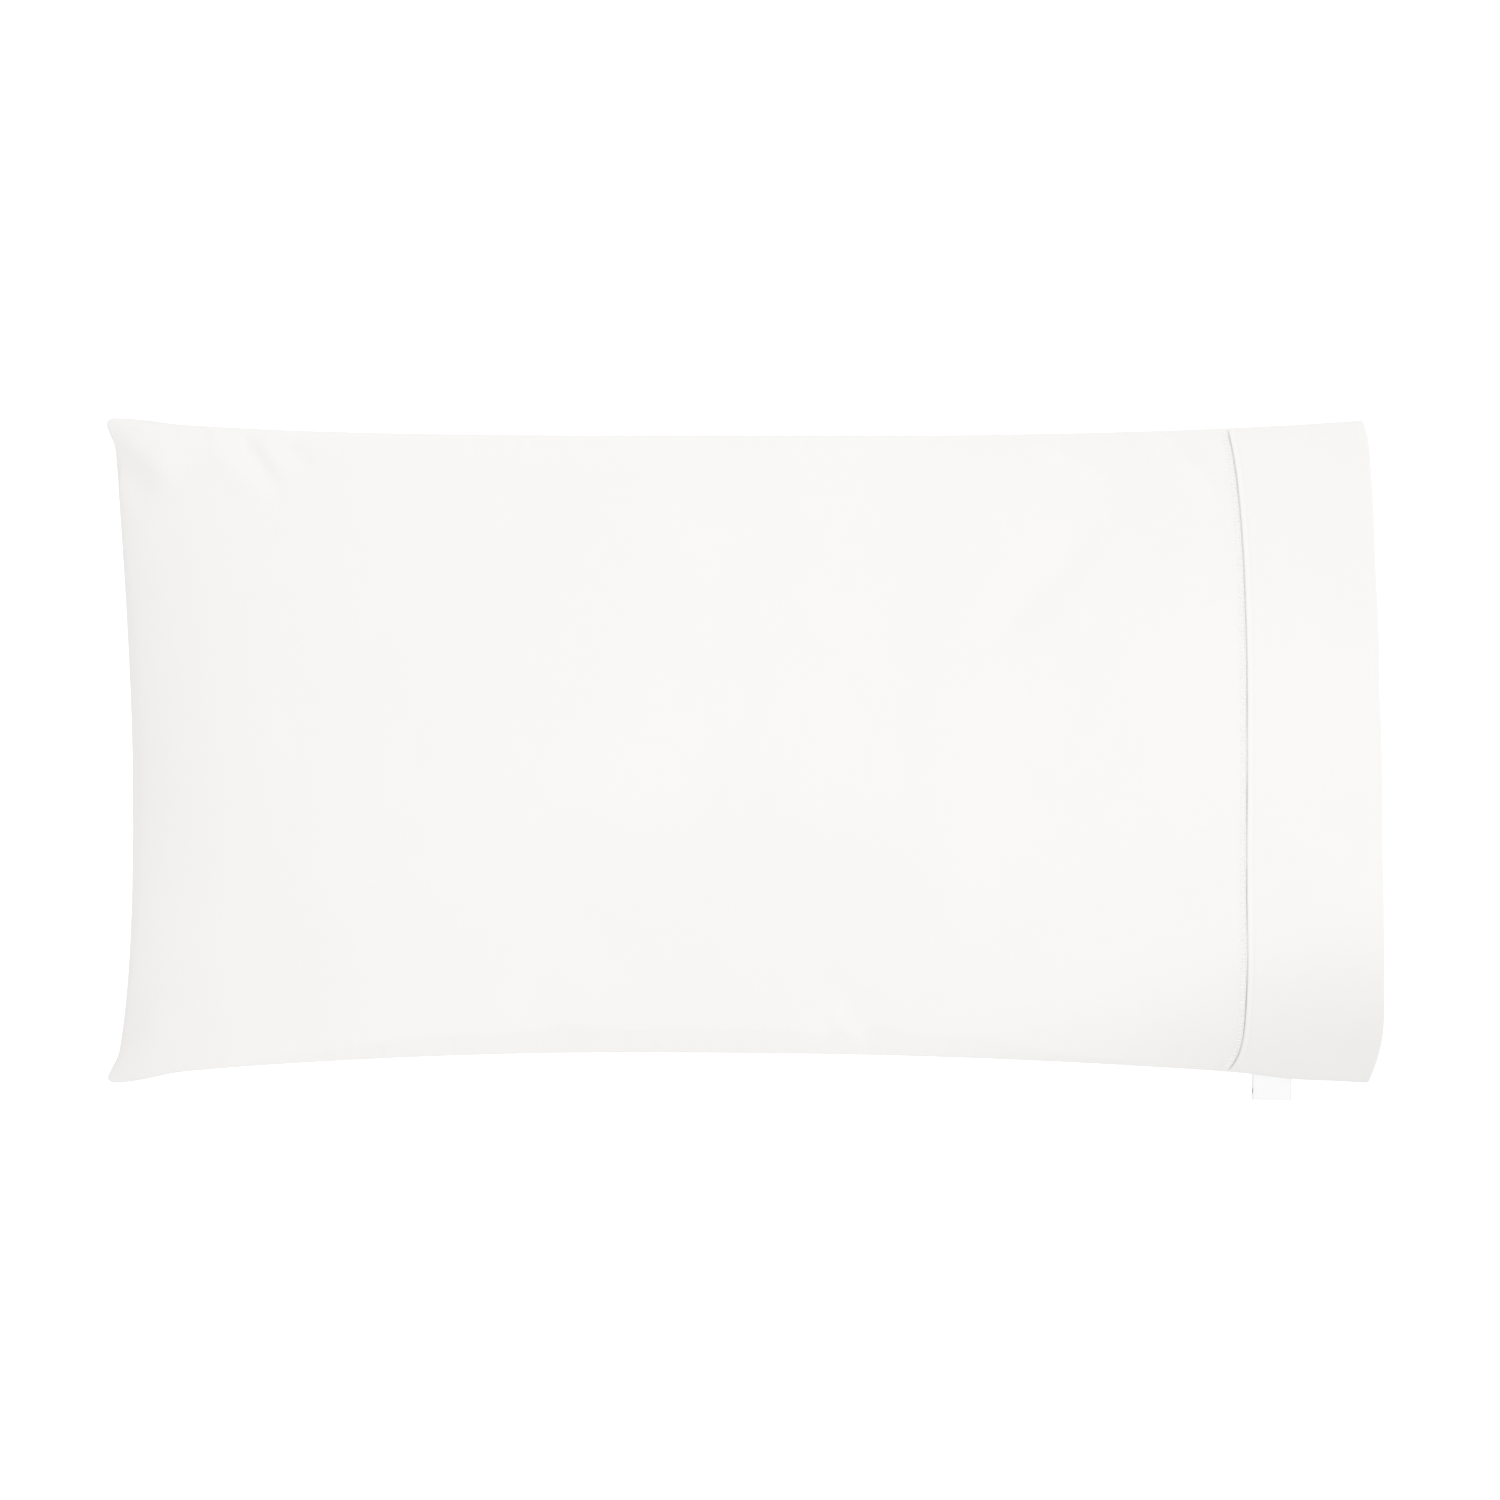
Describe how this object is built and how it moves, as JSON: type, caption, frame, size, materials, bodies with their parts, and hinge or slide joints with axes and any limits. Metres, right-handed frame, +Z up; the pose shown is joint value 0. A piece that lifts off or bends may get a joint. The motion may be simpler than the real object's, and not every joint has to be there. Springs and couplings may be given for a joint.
{
  "type": "pillowcase",
  "caption": "White cotton king-size pillowcase on its pillow, with drawn-in sides, ear corners, a wide hemstitched hem open at one end and a folded side label.",
  "frame": {"origin": "on the surface the pillowcase lies on, under the middle of its bounding box, label included", "axes": "+X runs from the closed end to the open hem, +Y across the case away from the label, +Z up from the back to the crown"},
  "size_m": [0.9698, 0.5204, 0.1495],
  "materials": {
    "cotton": "matt plain-weave cotton percale, white",
    "ribbon": "fine satin-woven ribbon, white, blank"
  },
  "bodies": {
    "root": {"pillowcase": "cotton", "side_label": "ribbon"}
  },
  "joints": []
}
